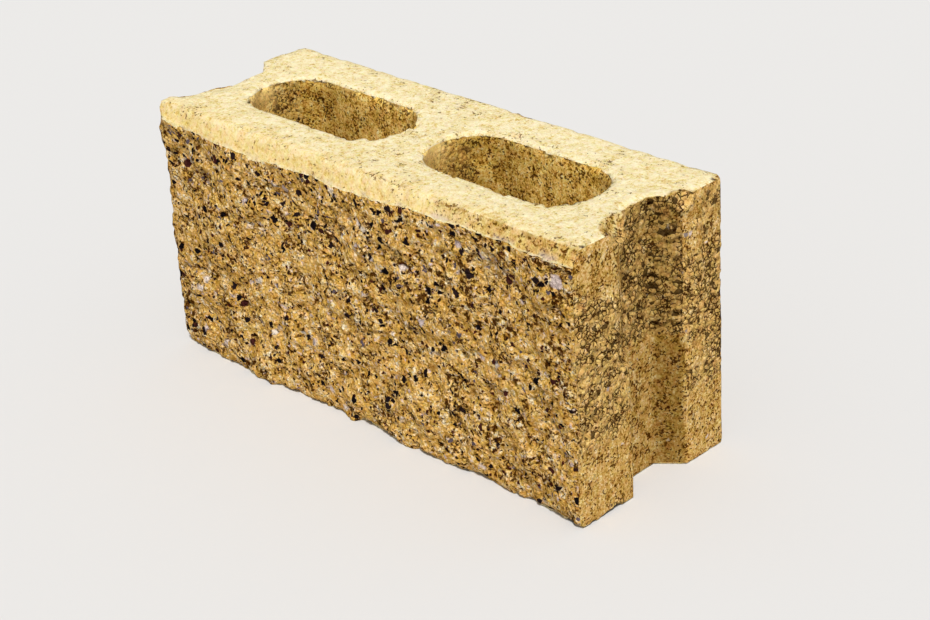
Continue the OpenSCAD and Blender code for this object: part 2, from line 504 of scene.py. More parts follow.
def end_grid(profile, step):
    """Right end of the block. Its plan runs from the front arris along the front lug, down one flank
    of the groove, across its floor, up the other flank, along the rear lug and round the back
    corner. The first column follows the profile of the front, and the lug's columns turn step by
    step into upright lines."""
    half_mouth, half_floor = GROOVE_MOUTH / 2, GROOVE_FLOOR / 2
    lug_y = GROOVE_Y - half_mouth
    corners = [
        (END_X, lug_y), (END_X - GROOVE_D, GROOVE_Y - half_floor), (END_X - GROOVE_D, GROOVE_Y + half_floor),
        (END_X, GROOVE_Y + half_mouth), (END_X, BACK_Y - BACK_CORNER_R),
    ]
    plan = [np.array(corners[:1])]
    for start, end in zip(corners[:-1], corners[1:]):
        count = steps(math.dist(start, end), step)
        plan.append(np.linspace(start, end, count)[1:])
    turn = np.linspace(0, math.pi / 2, steps(BACK_CORNER_R * math.pi / 2, step))[1:]
    centre = np.array([END_X - BACK_CORNER_R, BACK_Y - BACK_CORNER_R])
    plan.append(centre + BACK_CORNER_R * np.stack([np.cos(turn), np.sin(turn)], axis=-1))
    plan = np.concatenate(plan)

    rows = steps(HEIGHT, step)
    z = np.linspace(ARRIS, HEIGHT - ARRIS, rows)
    upright = np.stack([
        np.broadcast_to(plan[:, 0], (rows, len(plan))),
        np.broadcast_to(plan[:, 1], (rows, len(plan))),
        np.broadcast_to(z[:, None], (rows, len(plan))),
    ], axis=-1)
    along = shares(profile)
    first = np.stack([np.interp(np.linspace(0, 1, rows), along, profile[:, k]) for k in range(3)], axis=-1)
    first += (ARRIS, ARRIS, 0)
    across = np.linspace(0, 1, steps(lug_y - SPLIT_Y, step))[:-1, None]
    lug = first[:, None] + across * (upright[:, :1] - first[:, None])
    grid = np.concatenate([lug, upright], axis=1)

    run = run_along(grid[rows // 2, :, :2])
    mouths = [
        len(across) + np.argmin(np.linalg.norm(plan - corner, axis=1)) for corner in (corners[0], corners[3])
    ]
    edge_gap = np.abs(run[:, None] - run[[0, *mouths]]).min(axis=1)
    edge_gap = np.minimum(edge_gap, np.minimum(grid[..., 2], HEIGHT - grid[..., 2]))
    return grid, edge_gap


def core_columns(start_angle):
    """Columns of a core wall in plan: the point on the core's middle line that each belongs to and
    its direction away from it, spaced evenly round the core from the first past that angle."""
    radius = CORE_W / 2
    run = 2 * CORE_SPAN + 2 * math.pi * radius
    count = steps(run, CORE_STEP)
    s = np.arange(count) * run / count
    arc = math.pi * radius
    stretches = [s < CORE_SPAN, s < CORE_SPAN + arc, s < 2 * CORE_SPAN + arc]
    turn = np.select(
        stretches,
        [-math.pi / 2 + 0 * s, -math.pi / 2 + (s - CORE_SPAN) / radius, math.pi / 2 + 0 * s],
        math.pi / 2 + (s - 2 * CORE_SPAN - arc) / radius,
    )
    middle = np.select(
        stretches,
        [s - CORE_SPAN / 2, CORE_SPAN / 2 + 0 * s, 1.5 * CORE_SPAN + arc - s],
        -CORE_SPAN / 2,
    )
    away = np.stack([np.cos(turn), np.sin(turn)], axis=-1)
    place = np.stack([middle, 0 * middle], axis=-1) + radius * away
    angle = (np.arctan2(place[:, 1], place[:, 0]) - start_angle) % (2 * math.pi)
    order = np.argsort(angle)
    return middle[order], away[order], angle[order]


def block_skin():
    """Closed skin of the block: four walls, two beds in two rings each, and two core walls."""
    skin = Skin()

    face, bevel = front_grid()
    rows = len(face)
    front = np.concatenate([face, bevel])
    x_gap = END_X - np.abs(front[..., 0])
    front_gap = np.minimum(np.minimum(x_gap, front[..., 2]), HEIGHT - front[..., 2])
    face_ids = skin.add(face, front_gap[:rows], SPLIT)
    front_ids = np.concatenate([face_ids, skin.add(bevel, front_gap[rows:], BEVEL)])
    skin.weave(face_ids, SPLIT)
    skin.weave(front_ids[rows - 1:], BEVEL)

    right, right_gap = end_grid(front[:, -1], RIGHT_STEP)
    left, left_gap = end_grid(front[:, 0] * (-1, 1, 1), LEFT_STEP)
    left, left_gap = left[:, ::-1] * (-1, 1, 1), left_gap[:, ::-1]
    back_half = math.ceil((END_X - BACK_CORNER_R) / BACK_STEP)
    back_x = np.linspace(END_X - BACK_CORNER_R - ARRIS, -END_X + BACK_CORNER_R + ARRIS, 2 * back_half + 1)
    back_z = np.linspace(ARRIS, HEIGHT - ARRIS, steps(HEIGHT, BACK_STEP))
    back = np.stack(np.broadcast_arrays(back_x, BACK_Y, back_z[:, None]), axis=-1)
    walls = [front_ids]
    back_gap = np.minimum(back[..., 2], HEIGHT - back[..., 2])
    for grid, gap in ((right, right_gap), (back, back_gap), (left, left_gap)):
        ids = skin.add(grid, gap, WALL)
        skin.weave(ids, WALL)
        walls.append(ids)
    grids = [front, right, back, left]
    for n in range(4):
        here, there = (n + 1) % 4, n
        skin.zip(walls[here][:, 0], walls[there][:, -1],
                 shares(grids[here][:, 0]), shares(grids[there][:, -1]), WALL)

    web_y = np.linspace(BEVEL_TOP_Y, BACK_Y, WEB_POINTS + 2)[1:-1]
    web = {
        z: skin.add(np.stack(np.broadcast_arrays(0.0, web_y, z), axis=-1), FAR, BED) for z in (0.0, HEIGHT)
    }
    front_mid, back_mid = front_ids.shape[1] // 2, walls[2].shape[1] // 2
    for side in (1, -1):
        core_ring(skin, walls, web, front_mid, back_mid, side)
    return skin


def core_ring(skin, walls, web, front_mid, back_mid, side):
    """One half of the block round its core: the top bed runs in straight lines from the outline to
    the core's rim, the core wall runs down with its draft in rows that crowd towards the rim, and
    the bottom bed runs out again."""
    front_ids, right_ids, back_ids, left_ids = walls

    def loop(row, z):
        """Outline of this half at the bottom or top row, closed along the middle of the web."""
        if side > 0:
            parts = [front_ids[row, front_mid:], right_ids[row], back_ids[row, :back_mid + 1], web[z][::-1]]
        else:
            parts = [back_ids[row, back_mid:], left_ids[row], front_ids[row, :front_mid + 1], web[z]]
        return np.concatenate(parts)

    centre = np.array([side * CORE_X, CORE_Y])
    known = np.concatenate(skin.points)

    def ring(row, z, row_count, rim_r):
        """Rows of a bed from the outline to the core's rim, and the angle of each rim point."""
        ids = loop(row, z)
        outline = known[ids][:, :2] - centre
        middle = np.stack([np.clip(outline[:, 0], -CORE_SPAN / 2, CORE_SPAN / 2), 0 * ids], axis=-1)
        away = outline - middle
        run = np.linalg.norm(away, axis=1, keepdims=True)
        away = away / run
        wall_gap = (run - rim_r - ARRIS)[None]
        t = np.linspace(0, 1, row_count)[:, None, None]
        inset = ARRIS + t * (wall_gap - ARRIS)
        place = outline - inset * away + centre
        points = np.concatenate([place, np.full(place.shape[:2] + (1,), z)], axis=-1)
        on_web = np.abs(known[ids][:, 0]) < 0.01
        gap = np.minimum(np.where(on_web[None, :], FAR, inset[..., 0]), (wall_gap - inset)[..., 0] + ARRIS)
        rim = middle + (rim_r + ARRIS) * away
        return ids, skin.add(points, gap, BED), np.arctan2(rim[:, 1], rim[:, 0])

    top_loop, top, top_angle = ring(-1, HEIGHT, TOP_ROWS, CORE_W / 2)
    skin.weave_round(np.concatenate([top_loop[None], top]), BED)

    middle, away, core_angle = core_columns(top_angle[0])
    z = HEIGHT - ARRIS - np.linspace(0, 1, CORE_ROWS) ** CORE_CROWDING * (HEIGHT - 2 * ARRIS)
    radius = CORE_W / 2 - CORE_DRAFT * (HEIGHT - z) / HEIGHT
    plan = centre + np.stack([middle, 0 * middle], axis=-1) + radius[:, None, None] * away
    wall = np.concatenate([plan, np.broadcast_to(z[:, None, None], plan.shape[:2] + (1,))], axis=-1)
    core = skin.add(wall, np.broadcast_to(np.minimum(z, HEIGHT - z)[:, None], plan.shape[:2]), CORE)
    skin.weave_round(core, CORE)

    bottom_loop, bottom, bottom_angle = ring(0, 0.0, BOTTOM_ROWS, CORE_W / 2 - CORE_DRAFT)
    skin.weave_round(np.concatenate([bottom_loop[None], bottom])[::-1], BED)

    full = 2 * math.pi

    def round_trip(ids, angle):
        """A closed row: its first point again, one full turn on."""
        return np.append(ids, ids[0]), np.append(angle, full)

    top_rim, top_at = round_trip(top[-1], (top_angle - top_angle[0]) % full)
    core_top, core_at = round_trip(core[0], core_angle)
    skin.zip(top_rim, core_top, top_at, core_at, BED)
    core_low, _ = round_trip(core[-1], core_angle)
    low_rim, low_at = round_trip(bottom[-1], (bottom_angle - top_angle[0]) % full)
    skin.zip(core_low, low_rim, core_at, low_at, CORE)


def corner_normals(points, triangles):
    """Normal of each point: the sum of the area normals of the triangles round it, made one long."""
    a, b, c = (points[triangles[:, k]] for k in range(3))
    area = np.cross(b - a, c - a)
    total = np.stack([
        np.bincount(triangles.ravel(), np.repeat(area[:, k], 3), len(points)) for k in range(3)
    ], axis=-1)
    return total / np.maximum(np.linalg.norm(total, axis=1, keepdims=True), 1e-9)


# Surface of the concrete

def right_end_patches(points):
    """Patches of the right end that are more open or more closed than the rest, how far its groove
    and the groove's edges have crumbled away above a ledge, how much painted shade darkens the
    groove, most on its rear flank, and the voids just above the ledge, which the materials darken as
    painted shade."""
    y, z = points[:, 1], points[:, 2]
    at_end = ease(points[:, 0], END_X - GROOVE_D - 6, END_X - GROOVE_D - 3)
    extra = np.zeros(len(points))
    for centre_y, centre_z, reach_y, reach_z, amount in END_PATCHES:
        extra += amount * near(y - centre_y, reach_y) * near(z - centre_z, reach_z)
    inside = GROOVE_MOUTH / 2 + 1 - np.abs(y - GROOVE_Y)
    in_groove = at_end * ease(inside, 0, 4)
    ledge_z = LEDGE_Z + LEDGE_WANDER * value_noise(points, LEDGE_WANDER_L, seed=90)
    above = at_end * ease(z, ledge_z - 1, ledge_z + 2)
    crumbled = in_groove * above
    mouth_gap = np.abs(np.abs(y - GROOVE_Y) - GROOVE_MOUTH / 2)
    below_top = ease(HEIGHT - z, *WEAR_FADE)
    mouth_wear = np.where(y < GROOVE_Y, FRONT_MOUTH_WEAR, REAR_MOUTH_WEAR)
    worn = below_top * (GROOVE_WEAR * crumbled + mouth_wear * above * near(mouth_gap, MOUTH_REACH))
    rear_floor_y = GROOVE_Y + GROOVE_FLOOR / 2
    flank = in_groove * ease(y, rear_floor_y - 4, rear_floor_y + 3)
    # Painted shade: the groove is darkened, most on its rear flank and less above the ledge
    filmed = at_end * ease(inside, 0, 4 + 11 * above)
    damp_and_shade = filmed * (0.33 - 0.03 * above) + flank * (0.62 - 0.1 * above)
    in_void = ease(value_noise(points, VOID_L, seed=92), -0.3, 0.3)
    void = flank * near(z - ledge_z - VOID_RISE, VOID_RISE) * in_void
    more_open = at_end * extra + 0.9 * crumbled - 2.0 * (in_groove - crumbled)
    return more_open, worn + VOID_D * void, damp_and_shade, void


def bitten(points):
    """Points with the chips taken out: a point inside a ball moves straight out onto its surface,
    which is rough."""
    rough = fractal(points, BITE_ROUGH_L, octaves=2, seed=60)
    for centre, radius, _ in BITES:
        away = points - centre
        gap = np.linalg.norm(away, axis=1)
        reach = radius + rough
        on_ball = centre + away * (reach / np.maximum(gap, 1e-6))[:, None]
        points = np.where((gap < reach)[:, None], on_ball, points)
    return points


def near_bite(points):
    """How gritty the chips are, in and close round them, fading to 0 a few millimetres outside."""
    return np.max([
        grit * (1 - ease(np.linalg.norm(points - centre, axis=1) - radius, *BITE_GRIT))
        for centre, radius, grit in BITES
    ], axis=0)


def concrete_grain(points):
    """Grain that all faces share: noises of several lengths, and packed crumbs and lumps, warped by
    noise, of which a share is lost. Crumbs are highest at their centres, and lost ones are holes."""
    warp = np.stack([value_noise(points, WARP_L, seed=100 + k) for k in range(3)], axis=-1)
    warped = points + WARP * warp
    crumb, _, crumb_no = grains(warped, CRUMB_SIZE, seed=10)
    lump, next_lump, lump_no = grains(warped, LUMP_SIZE, seed=20)
    lost_crumb = crumb_no < LOST_CRUMBS
    return SimpleNamespace(
        broad=fractal(points, BROAD_L, octaves=2, seed=30),
        fine=fractal(points, FINE_L, octaves=2, seed=34),
        knobs=fractal(points, KNOB_L, octaves=2, seed=36),
        patches=ease(fractal(points, PATCH_L, octaves=2, seed=75), -0.4, 0.4),
        crumb=crumb,
        lost_crumb=lost_crumb,
        crumbs=CRUMB_RISE * (0.5 - crumb) - CRUMB_LOSS * lost_crumb,
        lump=lump,
        lump_seam=next_lump - lump,
        lost_lump=lump_no < LOST_LUMPS,
    )


def torn_face(points, grain):
    """Split face: how far it stands out, which is the sum of swells, crumbs, grit and knobs, held
    back at the ends so that the end edges run straight, and how much painted shade darkens its
    crevices, which is more where that sum is low and towards the ends."""
    from_end = END_X - np.abs(points[:, 0])
    inner = 0.3 + 0.7 * ease(from_end, 0, TORN_FADE_L)
    relief = TORN_BROAD * grain.broad + grain.crumbs + TORN_FINE * grain.fine + TORN_KNOB * grain.knobs
    low = -0.6 * grain.crumbs - TORN_KNOB * grain.knobs - TORN_BROAD * grain.broad
    # Painted shade: darker where the relief is low and towards the ends
    crevice_shade = ease(low, 0.2, 2.4) + 0.3 * (1 - ease(from_end, 10, 115))
    return TORN_OUT + inner * relief, crevice_shade


def from_core(points):
    """Place of each point along its core from the core's middle, how far it is past the straight
    part of the core at the left, and its place across the core."""
    along = points[:, 0] - CORE_X * np.sign(points[:, 0])
    return along, -along - CORE_SPAN / 2, points[:, 1] - CORE_Y


def moulded_wall(points, kind, grain):
    """Walls: how far they stand out, how open they are, how much painted shade darkens the seams
    between their lumps and the voids above the ledge, and how much painted shade darkens the groove.
    A smooth wall has faint swells and grit, and the more open it is, the more it turns
    into lumps with seams between them. It is open in a band, in random patches and where the right
    end has such patches. A core is open only at the rear of its left end."""
    x, y, z = points.T
    more_open, worn, damp_and_shade, void = right_end_patches(points)
    band = 1 - np.abs(z / HEIGHT - OPEN_BAND) / OPEN_BAND_HALF
    large = fractal(points, OPEN_LARGE_L, octaves=2, seed=70)
    middling = fractal(points, OPEN_MIDDLING_L, octaves=2, seed=77)
    opened = ease(0.8 * band + (0.8 * large + 0.5 * middling) + more_open, 0.1, 1.0)
    _, past_end, off_middle = from_core(points)
    core_end = ease(past_end, 4, 12) * ease(off_middle, 0, 6) * (1 - ease(off_middle, 18, 24))
    opened = np.where(kind == CORE, np.maximum(0.2 * opened, 0.7 * core_end), opened)

    raised = LUMP_RISE * ease(grain.lump_seam, 0.0, 0.3) * (0.85 - grain.lump) - LUMP_SINK
    lumps = np.where(grain.lost_lump, -LUMP_LOSS, raised)
    smooth = SMOOTH_FINE * grain.fine + SMOOTH_BROAD * grain.broad
    off_corner = 0.3 + 0.7 * ease(np.maximum(BACK_Y - y, END_X - np.abs(x)), *CORNER_FADE)
    rise = smooth + opened * off_corner * (lumps + OPEN_BROAD * grain.broad - smooth) - worn
    # Painted shade: the seams between lumps and the voids above the ledge are darkened in the colour
    seam = np.maximum(1 - ease(grain.lump_seam, 0.0, 0.45), grain.lost_lump)
    return rise, opened, np.maximum(opened * seam, void), damp_and_shade


def tamped_bed(points, edge_gap, kind, grain, chipped):
    """Beds and bevel: how far they stand out, how gritty they are and how much painted shade darkens
    their low crumbs. They have faint swells and grit, and crumbs where they are gritty: in patches
    along the edges, in a few large patches, in the chips, and on the bevel near its top and towards
    the right."""
    x, y, z = points.T
    along_edges = 0.6 * near(edge_gap, GRIT_EDGE_REACH) * grain.patches
    large = ease(fractal(points, GRIT_LARGE_L, octaves=3, seed=74), 0.6, 1.3)
    along_front = near(y - BEVEL_TOP_Y, GRIT_FRONT_REACH) * (0.35 + 0.35 * ease(x, -150, 60))
    along_front = along_front * grain.patches
    spots = np.max([near(np.hypot(x - along, y - across), reach) for along, across, reach in GRITTY], axis=0)
    gritty = np.max([along_edges, large, along_front, 0.5 * spots, chipped], axis=0)
    on_bevel = 0.05 + 0.25 * grain.patches * near(HEIGHT - z, GRIT_BEVEL_REACH) + 0.8 * ease(x, 0, 150)
    gritty = np.where(kind == BEVEL, on_bevel, gritty)
    crumbs = GRIT_CRUMB * (0.5 - grain.crumb) + GRIT_FINE * grain.fine - GRIT_LOSS * grain.lost_crumb
    rise = BED_BROAD * grain.broad + BED_FINE * grain.fine + gritty * crumbs
    # Painted shade: the low crumbs of gritty places are darkened in the colour
    return rise, gritty, gritty * ease(-grain.crumbs, 0.6, 2.2)


def edge_wear(points, edge_gap, kind):
    """How much is worn off the edges: unevenly, by noise, and most on the rims of the cores."""
    uneven = ease(fractal(points, WEAR_L, octaves=2, seed=80), 0.0, 0.8)
    by_core = (edge_gap < CORE_RIM_L) & (np.abs(points[:, 1] - CORE_Y) < CORE_W)
    on_rim = (kind == CORE) | ((kind == BED) & by_core)
    rim, edge = (
        (least + more * uneven) * near(edge_gap, reach) for least, more, reach in (CORE_WEAR, EDGE_WEAR)
    )
    return np.where(on_rim, rim, edge)


def dust_light_damp_and_shade(points, edge_gap, kind, grain, groove_shade):
    """Dust along the notch and on the core rims, painted light on the upper left end of each core,
    and damp, which makes the paste darker and yellower: in the cores it is painted shade that fades
    to the right, in random clouds, on the bevel it grows downwards and to the right, on the bed it lies
    along the bevel, and on the walls it is the painted shade of the groove."""
    x, y, z = points.T
    along, past_end, off_middle = from_core(points)
    # Painted light: the upper part of each core's left end is drawn paler, where the sun falls on it
    lit_end = 0.9 * ease(past_end, 8, 18) * (1 - ease(off_middle, 2, 9)) * near(HEIGHT - z, CORE_END_REACH)
    notch_dust = near(z - HEIGHT + NOTCH_D + edge_drop(x), NOTCH_DUST_REACH)
    notch_dust = notch_dust * ease(fractal(points, DUST_L, octaves=2, seed=88), -0.1, 0.5)
    rim_dust = 0.6 * grain.patches * near(edge_gap, RIM_DUST_REACH) * (z > HEIGHT / 2)
    dust_and_light = np.select([kind == BEVEL, kind == CORE], [notch_dust, np.maximum(rim_dust, lit_end)], 0.0)

    cloud = fractal(points, DAMP_L, octaves=2, seed=97)
    # Painted shade: the core walls are darker towards their left end, in random clouds
    core_shade = (1 - lit_end) * (0.62 - 0.67 * ease(along, -60, 30) + 0.3 * cloud)
    bevel_damp = 0.3 + 0.4 * ease(HEIGHT - z, 0, 8) + 0.15 * ease(x, 60, 180)
    bed_damp = 0.35 * near(y - BEVEL_TOP_Y, DAMP_FRONT_REACH)
    kinds = [kind == CORE, kind == BEVEL, kind == BED]
    return dust_and_light, np.select(kinds, [core_shade, bevel_damp, bed_damp], groove_shade)


def textured(points, normals, edge_gap, kind):
    """Final points, each moved along its normal by the grain of its surface less the wear of its
    edge and then out of the chips, and what the materials read at each: how open or gritty the
    concrete is, how much painted shade darkens its crevices, how many stones it shows, its dust
    with the painted light on the cores' left ends, and its damp with the painted shade in the groove
    and the cores."""
    grain = concrete_grain(points)
    chipped = near_bite(points)
    torn, torn_crevice_shade = torn_face(points, grain)
    moulded, opened, wall_crevice_shade, groove_shade = moulded_wall(points, kind, grain)
    tamped, gritty, bed_crevice_shade = tamped_bed(points, edge_gap, kind, grain, chipped)
    on_wall = (kind == WALL) | (kind == CORE)
    faces = [kind == SPLIT, on_wall]
    rise = np.select(faces, [torn, moulded], tamped) - edge_wear(points, edge_gap, kind)
    moved = bitten(points + normals * rise[:, None])
    moved[:, 2] = np.clip(moved[:, 2], 0.0, HEIGHT + BED_PROUD)

    wander = STONE_WANDER * value_noise(points, STONE_WANDER_L, seed=85)
    up_face = points[:, 2] + wander - STONE_CLIMB * points[:, 0]
    dust_and_light, damp_and_shade = dust_light_damp_and_shade(points, edge_gap, kind, grain, groove_shade)
    return moved, {
        "open": np.where(on_wall, np.maximum(opened, chipped), gritty),
        "crevice_shade": np.select(faces, [torn_crevice_shade, wall_crevice_shade], bed_crevice_shade),
        "stony": ease(up_face, *STONE_LINE),
        "dust_and_light": dust_and_light,
        "damp_and_shade": damp_and_shade,
    }


def concrete_block(materials):
    """Builds the skin as one mesh and gives it its materials and the attributes that they read."""
    skin = block_skin()
    points = np.concatenate(skin.points)
    edge_gap = np.concatenate(skin.edge_gap)
    kind = np.concatenate(skin.kind)
    quads = np.concatenate([q for q, _ in skin.quads])
    triangles = np.concatenate([t for t, _ in skin.triangles])
    slots = SLOT[np.concatenate([np.full(len(q), k) for q, k in skin.quads + skin.triangles])]
    halves = np.concatenate([quads[:, [0, 1, 2]], quads[:, [0, 2, 3]], triangles])
    normals = corner_normals(points, halves)
    moved, values = textured(points, normals, edge_gap, kind)

    mesh = bpy.data.meshes.new("concrete_block_skin")
    mesh.vertices.add(len(moved))
    mesh.vertices.foreach_set("co", (moved * MM).ravel())
    corners = np.concatenate([quads.ravel(), triangles.ravel()]).astype(np.int32)
    sizes = np.concatenate([np.full(len(quads), 4), np.full(len(triangles), 3)]).astype(np.int32)
    starts = np.concatenate([[0], np.cumsum(sizes)[:-1]]).astype(np.int32)
    mesh.loops.add(len(corners))
    mesh.loops.foreach_set("vertex_index", corners)
    mesh.polygons.add(len(sizes))
    mesh.polygons.foreach_set("loop_start", starts)
    mesh.polygons.foreach_set("material_index", slots.astype(np.int32))
    mesh.polygons.foreach_set("use_smooth", np.ones(len(sizes), bool))
    for name, value in values.items():
        attribute = mesh.attributes.new(name, "FLOAT", "POINT")
        attribute.data.foreach_set("value", value.astype(np.float32))
    mesh.update(calc_edges=True)
    mesh.validate()
    for material in materials:
        mesh.materials.append(material)
    block = bpy.data.objects.new("split_face_block", mesh)
    bpy.context.scene.collection.objects.link(block)
    return block


# Materials

def linear(hex_colour):
    """sRGB hex to linear RGBA."""
    parts = [int(hex_colour[i:i + 2], 16) / 255 for i in (1, 3, 5)]
    return tuple(c / 12.92 if c <= 0.04045 else ((c + 0.055) / 1.055) ** 2.4 for c in parts) + (1.0,)


def per_mm(size):
    """Texture scale, in cells per metre, for cells of that size in millimetres."""
    return 1 / (size * MM)


def add(tree, kind, inputs, output=0, stops=(), interpolation="LINEAR", **settings):
    """Adds a shader node and returns one of its outputs. Inputs take an output of another node, a
    number, a vector or a hex colour, stops are the places and values of a ramp, and settings are
    the node's own properties."""
    node = tree.nodes.new("ShaderNode" + kind)
    for name, value in settings.items():
        setattr(node, name, value)
    for name, value in inputs.items():
        if isinstance(value, bpy.types.NodeSocket):
            tree.links.new(value, node.inputs[name])
        else:
            node.inputs[name].default_value = linear(value) if isinstance(value, str) else value
    if stops:
        node.color_ramp.interpolation = interpolation
        elements = node.color_ramp.elements
        while len(elements) < len(stops):
            elements.new(0.5)
        for element, (place, value) in zip(elements, stops):
            element.position = place
            element.color = linear(value) if isinstance(value, str) else (value, value, value, 1)
    return None if output is None else node.outputs[output]


def start_material(name):
    """Empty material, and the function that adds nodes to it."""
    material = bpy.data.materials.new(name)
    material.use_nodes = True
    material.node_tree.nodes.clear()
    return material, partial(add, material.node_tree)


def readings(node, *names):
    """Values that the mesh has under those names."""
    return [node("Attribute", {}, "Fac", attribute_name=name) for name in names]


def times_plus(node, value, factor, plus):
    """Value times a factor, plus a number or another value."""
    return node("Math", {0: value, 1: factor, 2: plus}, operation="MULTIPLY_ADD")


def mixed(node, colour, other, share, **blend):
    """Colour with a share of another one mixed in."""
    return node("Mix", {0: share, 6: colour, 7: other}, 2, data_type="RGBA", **blend)


def ramp(node, value, stops, **settings):
    """What a ramp with those stops makes of a value."""
    return node("ValToRGB", {0: value}, stops=stops, **settings)


def soft_noise(node, place, size, detail=2.0, roughness=0.5):
    """Noise from 0 to 1 with swells of that size in millimetres, and finer ones for each detail."""
    inputs = {"Vector": place, "Scale": per_mm(size), "Detail": detail, "Roughness": roughness}
    return node("TexNoise", inputs)


def wobbled(node, place, size, amount):
    """Place pushed about by noise of that size, by about that amount, both in millimetres."""
    wave = node("TexNoise", {"Vector": place, "Scale": per_mm(size), "Detail": 2.0}, "Color")
    return node("VectorMath", {0: wave, 1: [3 * amount * MM] * 3, 2: place}, operation="MULTIPLY_ADD")


def cells(node, place, size, shift):
    """Angular cells of that size in millimetres, moved aside by a shift in metres so that no two
    patterns agree: two random numbers for each cell, the distance from its border and the distance
    from its centre, both as shares of the size."""
    moved = node("VectorMath", {0: place, 1: (shift, 0.37 * shift, 0.71 * shift)})
    inner = {"Vector": moved, "Scale": per_mm(size)}
    random = node("TexVoronoi", inner, "Color")
    centre = node("TexVoronoi", inner, "Distance")
    border = node("TexVoronoi", inner, "Distance", feature="DISTANCE_TO_EDGE")
    return node("SeparateColor", {0: random}, 0), node("SeparateColor", {0: random}, 1), border, centre


def sandy(node, tone, place, size, shift, swing):
    """Tone with grains of sand of that size in it, each lighter or darker by up to half the swing."""
    pick, _, _, _ = cells(node, place, size, shift)
    change = times_plus(node, pick, swing, -swing / 2)
    return node("Math", {0: tone, 1: change})


def stones(node, colour, place, tints, size, share, shift, soft):
    """Colour with crushed stones of that size in it: they fill the given share of all cells, have
    an edge as soft as asked and each has one of the tints."""
    pick, number, border, _ = cells(node, place, size, shift)
    inside = ramp(node, border, [(0.02, 0.0), (0.02 + soft, 1.0)])
    chosen = node("Math", {0: pick, 1: share}, operation="LESS_THAN")
    mask = node("Math", {0: inside, 1: chosen}, operation="MULTIPLY")
    stops = [(n / len(tints), tint) for n, tint in enumerate(tints)]
    tint = ramp(node, number, stops, interpolation="CONSTANT")
    return mixed(node, colour, tint, mask)


def placed_stones(node, colour, place, placed, seen, soft, tint):
    """Colour with single stones in it, whose edges are soft over that many millimetres. Only the
    axes that are seen count for where they are."""
    flat = node("VectorMath", {0: place, 1: seen}, operation="MULTIPLY")
    mask = 0.0
    for spot, radius in placed:
        far = node("VectorMath", {0: flat, 1: [MM * c for c in spot]}, "Value", operation="DISTANCE")
        edge = {0: far, 1: -1 / (soft * MM), 2: radius / soft}
        stone = node("Math", edge, operation="MULTIPLY_ADD", use_clamp=True)
        mask = node("Math", {0: stone, 1: mask}, operation="MAXIMUM")
    return mixed(node, colour, tint, mask)


def pores(node, place, size, more):
    """Irregular pores, from 0 to 1, where rough noise of that size is low. More than 0 widens them."""
    wave = soft_noise(node, place, size, roughness=0.55)
    low = node("Math", {0: wave, 1: more}, operation="SUBTRACT")
    return ramp(node, low, [(0.36, 1.0), (0.40, 0.0)])


def gaps(node, place, size, lost, shift):
    """Packed grains of that size, of which a share is lost. Returns the gaps round the grains
    and the voids of the lost ones, from 0 to 1, which the materials darken as painted shade, and the
    height of the grains. The gaps are as wide as a longer noise is high, up to a tenth of a grain, so
    they open in clusters as thin lines."""
    pick, _, border, centre = cells(node, place, size, shift)
    wave = soft_noise(node, place, 2.5 * size)
    wide = times_plus(node, wave, 1.1, -0.46)
    width = node("Math", {0: wide, 1: 0.1}, operation="MINIMUM")
    inside = node("Math", {0: width, 1: border}, operation="SUBTRACT")
    gap = ramp(node, inside, [(0.0, 0.0), (0.04, 1.0)])
    void = node("Math", {0: pick, 1: lost}, operation="LESS_THAN")
    grain = node("Math", {0: 1.0, 1: centre}, operation="SUBTRACT")
    height = node("Math", {0: grain, 1: void}, operation="SUBTRACT")
    return node("Math", {0: gap, 1: void}, operation="MAXIMUM"), height


def tinted(node, colour, *marks):
    """Colour with each of the marks, such as pores, mixed in by its own strength and tint."""
    for mark, strength, tint in marks:
        share = node("Math", {0: mark, 1: strength}, operation="MULTIPLY")
        colour = mixed(node, colour, tint, share)
    return colour


def pitted(node, height, *pits):
    """Height with each kind of pit sunk into it by its own drop."""
    for pit, drop in pits:
        fall = node("Math", {0: pit, 1: drop}, operation="MULTIPLY")
        height = node("Math", {0: height, 1: fall}, operation="SUBTRACT")
    return height


def finish(node, place, colour, swing, height, depth):
    """Dry concrete: matt and without sheen, with that colour, a little yellower or redder from grain
    to grain as pigment is, by such a swing of hue, and bumps of that depth in millimetres."""
    wave = soft_noise(node, place, 4)
    turn = times_plus(node, wave, swing, 0.5 - swing / 2)
    colour = node("HueSaturation", {"Hue": turn, "Color": colour})
    normal = node("Bump", {"Height": height, "Distance": depth * MM})
    shader = node("BsdfPrincipled", {
        "Base Color": colour, "Normal": normal, "Roughness": 0.9, "Specular IOR Level": 0.0,
    })
    node("OutputMaterial", {"Surface": shader}, None)


